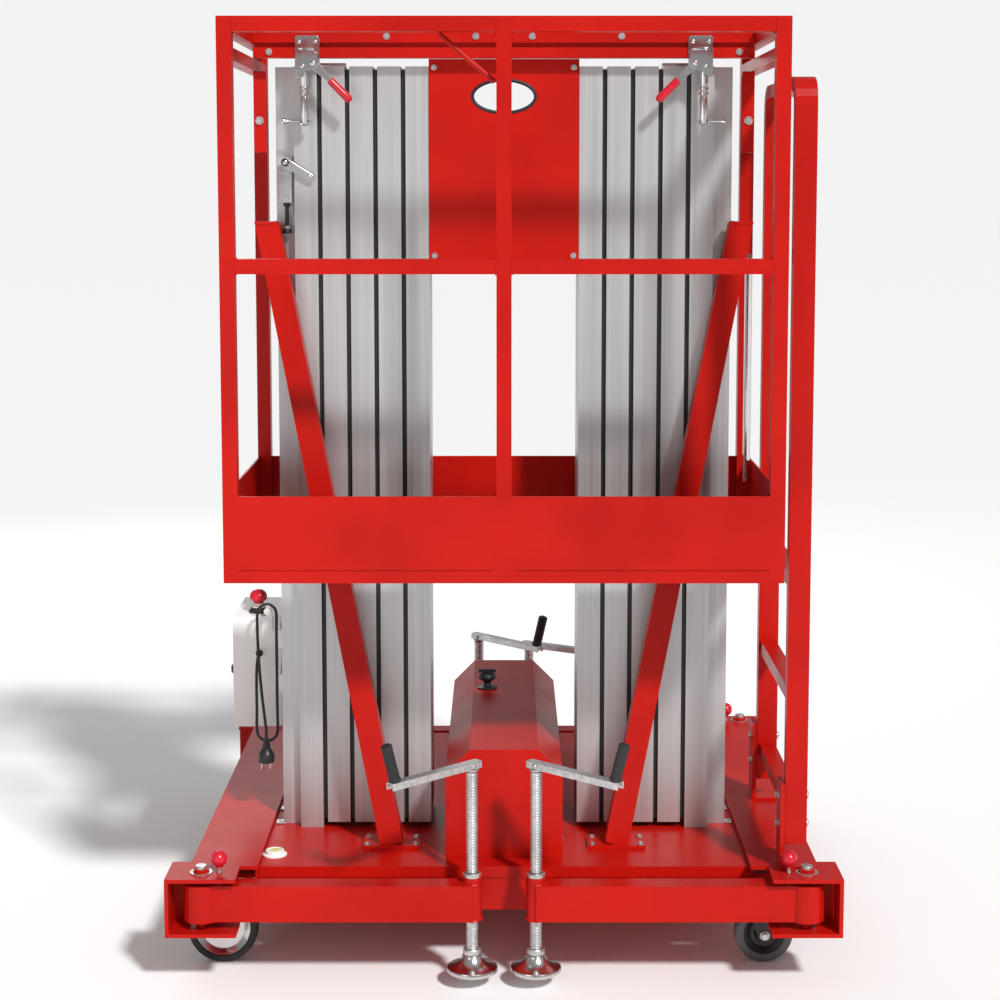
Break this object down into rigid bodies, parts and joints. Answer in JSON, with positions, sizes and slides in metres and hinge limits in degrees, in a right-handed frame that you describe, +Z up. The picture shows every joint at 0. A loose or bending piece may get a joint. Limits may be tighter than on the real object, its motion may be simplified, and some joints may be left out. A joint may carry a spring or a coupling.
{
  "type": "aerial work platform",
  "caption": "Telescopic aluminium mast work platform on a wheeled chassis, with swing-out outriggers and a guarded basket.",
  "frame": {"origin": "on the floor, below the middle of the whole model", "axes": "+Z up; -Y is the front, where the basket overhangs; +X is the ladder side"},
  "size_m": [1.39, 1.4287, 1.98],
  "materials": {
    "red_paint": "gloss enamel, slightly orange-peeled, chipped at edges",
    "aluminium": "extruded and anodised, with fine lines along its length",
    "zinc_steel": "zinc plated",
    "chrome": "polished",
    "red_plastic": "gloss moulded",
    "black_plastic": "satin moulded",
    "black_tyre": "worn rubber",
    "grey_tyre": "non-marking rubber",
    "box_grey": "powder coat"
  },
  "bodies": {
    "chassis": {"chassis_frame": "red_paint", "base_plate": "red_paint", "power_pack_hood": "red_paint", "pump_motor": "black_plastic", "oil_tank": "zinc_steel", "left_mast_stage_1": "aluminium", "right_mast_stage_1": "aluminium", "left_lift_cylinder": "zinc_steel", "right_lift_cylinder": "zinc_steel", "left_brace": "red_paint", "right_brace": "red_paint", "ladder": "red_paint", "control_box": "box_grey", "mains_lead": "black_plastic", "mains_plug": "black_plastic", "right_front_caster_fork": "black_plastic", "right_rear_caster_fork": "black_plastic"},
    "left_stage_2": {"left_mast_stage_2": "aluminium", "left_cylinder_rod": "chrome"},
    "left_stage_3": {"left_mast_stage_3": "aluminium"},
    "left_stage_4": {"left_mast_stage_4": "aluminium"},
    "right_stage_2": {"right_mast_stage_2": "aluminium", "right_cylinder_rod": "chrome"},
    "right_stage_3": {"right_mast_stage_3": "aluminium"},
    "right_stage_4": {"right_mast_stage_4": "aluminium"},
    "carriage": {"left_mast_stage_5": "aluminium", "right_mast_stage_5": "aluminium", "centre_plate": "red_paint", "head_beam": "red_paint", "basket_frame": "red_paint", "platform_deck": "aluminium", "left_latch_base": "zinc_steel", "right_latch_base": "zinc_steel"},
    "gate_bar": {"gate_bar": "chrome"},
    "left_latch_lever": {"left_latch_lever": "red_plastic"},
    "right_latch_lever": {"right_latch_lever": "red_plastic"},
    "mast_clamp_lever": {"mast_clamp_lever": "zinc_steel"},
    "emergency_stop": {"emergency_stop": "red_plastic"},
    "front_left_outrigger": {"front_left_outrigger_arm": "red_paint"},
    "front_left_lock_pin": {"front_left_lock_pin": "red_plastic"},
    "front_left_jack": {"front_left_jack_leg": "zinc_steel"},
    "front_left_crank": {"front_left_jack_crank": "zinc_steel"},
    "front_right_outrigger": {"front_right_outrigger_arm": "red_paint"},
    "front_right_lock_pin": {"front_right_lock_pin": "red_plastic"},
    "front_right_jack": {"front_right_jack_leg": "zinc_steel"},
    "front_right_crank": {"front_right_jack_crank": "zinc_steel"},
    "rear_left_outrigger": {"rear_left_outrigger_arm": "red_paint"},
    "rear_left_lock_pin": {"rear_left_lock_pin": "red_plastic"},
    "rear_left_jack": {"rear_left_jack_leg": "zinc_steel"},
    "rear_left_crank": {"rear_left_jack_crank": "zinc_steel"},
    "rear_right_outrigger": {"rear_right_outrigger_arm": "red_paint"},
    "rear_right_lock_pin": {"rear_right_lock_pin": "red_plastic"},
    "rear_right_jack": {"rear_right_jack_leg": "zinc_steel"},
    "rear_right_crank": {"rear_right_jack_crank": "zinc_steel"},
    "left_front_caster": {"left_front_caster_fork": "zinc_steel"},
    "left_front_wheel": {"left_front_wheel": "black_tyre"},
    "right_front_wheel": {"right_front_wheel": "grey_tyre"},
    "left_rear_caster": {"left_rear_caster_fork": "zinc_steel"},
    "left_rear_wheel": {"left_rear_wheel": "black_tyre"},
    "right_rear_wheel": {"right_rear_wheel": "grey_tyre"}
  },
  "joints": [
    {"name": "left_stage_2_lift", "type": "slide", "parent": "chassis", "child": "left_stage_2", "axis": [0, 0, 1], "range_m": [0, 1.4]},
    {"name": "left_stage_3_lift", "type": "slide", "parent": "left_stage_2", "child": "left_stage_3", "axis": [0, 0, 1], "range_m": [0, 1.4]},
    {"name": "left_stage_4_lift", "type": "slide", "parent": "left_stage_3", "child": "left_stage_4", "axis": [0, 0, 1], "range_m": [0, 1.4]},
    {"name": "right_stage_2_lift", "type": "slide", "parent": "chassis", "child": "right_stage_2", "axis": [0, 0, 1], "range_m": [0, 1.4]},
    {"name": "right_stage_3_lift", "type": "slide", "parent": "right_stage_2", "child": "right_stage_3", "axis": [0, 0, 1], "range_m": [0, 1.4]},
    {"name": "right_stage_4_lift", "type": "slide", "parent": "right_stage_3", "child": "right_stage_4", "axis": [0, 0, 1], "range_m": [0, 1.4]},
    {"name": "carriage_lift", "type": "slide", "parent": "left_stage_4", "child": "carriage", "axis": [0, 0, 1], "range_m": [0, 1.4]},
    {"name": "gate_bar_swing", "type": "hinge", "parent": "carriage", "child": "gate_bar", "pos_m": [0.548, -0.0506, 1.491], "axis": [1, 0, 0], "range_deg": [-90, 0]},
    {"name": "left_latch_open", "type": "hinge", "parent": "carriage", "child": "left_latch_lever", "pos_m": [-0.404, -0.2596, 1.908], "axis": [0, 1, 0], "range_deg": [0, 100]},
    {"name": "right_latch_open", "type": "hinge", "parent": "carriage", "child": "right_latch_lever", "pos_m": [0.404, -0.2596, 1.908], "axis": [0, 1, 0], "range_deg": [-100, 0]},
    {"name": "mast_clamp_swing", "type": "hinge", "parent": "chassis", "child": "mast_clamp_lever", "pos_m": [-0.47, -0.2006, 1.7], "axis": [0, 1, 0], "range_deg": [-70, 40]},
    {"name": "emergency_stop_press", "type": "slide", "parent": "chassis", "child": "emergency_stop", "axis": [0, 0, -1], "range_m": [0, 0.006], "stiffness_N_per_m": 600},
    {"name": "front_left_outrigger_swing", "type": "hinge", "parent": "chassis", "child": "front_left_outrigger", "pos_m": [-0.625, -0.5386, 0.181], "axis": [0, 0, 1], "range_deg": [-120, 0]},
    {"name": "front_left_lock_pin_lift", "type": "slide", "parent": "chassis", "child": "front_left_lock_pin", "axis": [0, 0, 1], "range_m": [0, 0.02], "stiffness_N_per_m": 300},
    {"name": "front_left_jack_extend", "type": "slide", "parent": "front_left_outrigger", "child": "front_left_jack", "axis": [0, 0, 1], "range_m": [-0.18, 0.05]},
    {"name": "front_left_crank_turn", "type": "hinge", "parent": "front_left_jack", "child": "front_left_crank", "pos_m": [-0.066, -0.5386, 0.466], "axis": [0, 0, 1], "range_deg": [-90, 70]},
    {"name": "front_right_outrigger_swing", "type": "hinge", "parent": "chassis", "child": "front_right_outrigger", "pos_m": [0.625, -0.5386, 0.181], "axis": [0, 0, 1], "range_deg": [0, 120]},
    {"name": "front_right_lock_pin_lift", "type": "slide", "parent": "chassis", "child": "front_right_lock_pin", "axis": [0, 0, 1], "range_m": [0, 0.02], "stiffness_N_per_m": 300},
    {"name": "front_right_jack_extend", "type": "slide", "parent": "front_right_outrigger", "child": "front_right_jack", "axis": [0, 0, 1], "range_m": [-0.18, 0.05]},
    {"name": "front_right_crank_turn", "type": "hinge", "parent": "front_right_jack", "child": "front_right_crank", "pos_m": [0.066, -0.5386, 0.466], "axis": [0, 0, 1], "range_deg": [-70, 90]},
    {"name": "rear_left_outrigger_swing", "type": "hinge", "parent": "chassis", "child": "rear_left_outrigger", "pos_m": [-0.625, 0.6614, 0.181], "axis": [0, 0, 1], "range_deg": [0, 120]},
    {"name": "rear_left_lock_pin_lift", "type": "slide", "parent": "chassis", "child": "rear_left_lock_pin", "axis": [0, 0, 1], "range_m": [0, 0.02], "stiffness_N_per_m": 300},
    {"name": "rear_left_jack_extend", "type": "slide", "parent": "rear_left_outrigger", "child": "rear_left_jack", "axis": [0, 0, 1], "range_m": [-0.18, 0.05]},
    {"name": "rear_left_crank_turn", "type": "hinge", "parent": "rear_left_jack", "child": "rear_left_crank", "pos_m": [-0.066, 0.6614, 0.466], "axis": [0, 0, 1], "range_deg": [-120, 10]},
    {"name": "rear_right_outrigger_swing", "type": "hinge", "parent": "chassis", "child": "rear_right_outrigger", "pos_m": [0.625, 0.6614, 0.181], "axis": [0, 0, 1], "range_deg": [-120, 0]},
    {"name": "rear_right_lock_pin_lift", "type": "slide", "parent": "chassis", "child": "rear_right_lock_pin", "axis": [0, 0, 1], "range_m": [0, 0.02], "stiffness_N_per_m": 300},
    {"name": "rear_right_jack_extend", "type": "slide", "parent": "rear_right_outrigger", "child": "rear_right_jack", "axis": [0, 0, 1], "range_m": [-0.18, 0.05]},
    {"name": "rear_right_crank_turn", "type": "hinge", "parent": "rear_right_jack", "child": "rear_right_crank", "pos_m": [0.066, 0.6614, 0.444], "axis": [0, 0, 1], "range_deg": [-20, 100]},
    {"name": "left_front_caster_swivel", "type": "hinge", "parent": "chassis", "child": "left_front_caster", "pos_m": [-0.565, -0.4006, 0.177], "axis": [0, 0, 1], "continuous": true},
    {"name": "left_front_wheel_roll", "type": "hinge", "parent": "left_front_caster", "child": "left_front_wheel", "pos_m": [-0.6, -0.4006, 0.075], "axis": [0, 1, 0], "continuous": true},
    {"name": "right_front_wheel_roll", "type": "hinge", "parent": "chassis", "child": "right_front_wheel", "pos_m": [0.555, -0.4006, 0.0625], "axis": [0, 1, 0], "continuous": true},
    {"name": "left_rear_caster_swivel", "type": "hinge", "parent": "chassis", "child": "left_rear_caster", "pos_m": [-0.565, 0.5234, 0.177], "axis": [0, 0, 1], "continuous": true},
    {"name": "left_rear_wheel_roll", "type": "hinge", "parent": "left_rear_caster", "child": "left_rear_wheel", "pos_m": [-0.6, 0.5234, 0.075], "axis": [0, 1, 0], "continuous": true},
    {"name": "right_rear_wheel_roll", "type": "hinge", "parent": "chassis", "child": "right_rear_wheel", "pos_m": [0.555, 0.5234, 0.0625], "axis": [0, 1, 0], "continuous": true}
  ],
  "couplings": [
    {"joint": "left_stage_3_lift", "follows": "left_stage_2_lift", "ratio": 1},
    {"joint": "left_stage_4_lift", "follows": "left_stage_2_lift", "ratio": 1},
    {"joint": "right_stage_2_lift", "follows": "left_stage_2_lift", "ratio": 1},
    {"joint": "right_stage_3_lift", "follows": "left_stage_2_lift", "ratio": 1},
    {"joint": "right_stage_4_lift", "follows": "left_stage_2_lift", "ratio": 1},
    {"joint": "carriage_lift", "follows": "left_stage_2_lift", "ratio": 1}
  ]
}
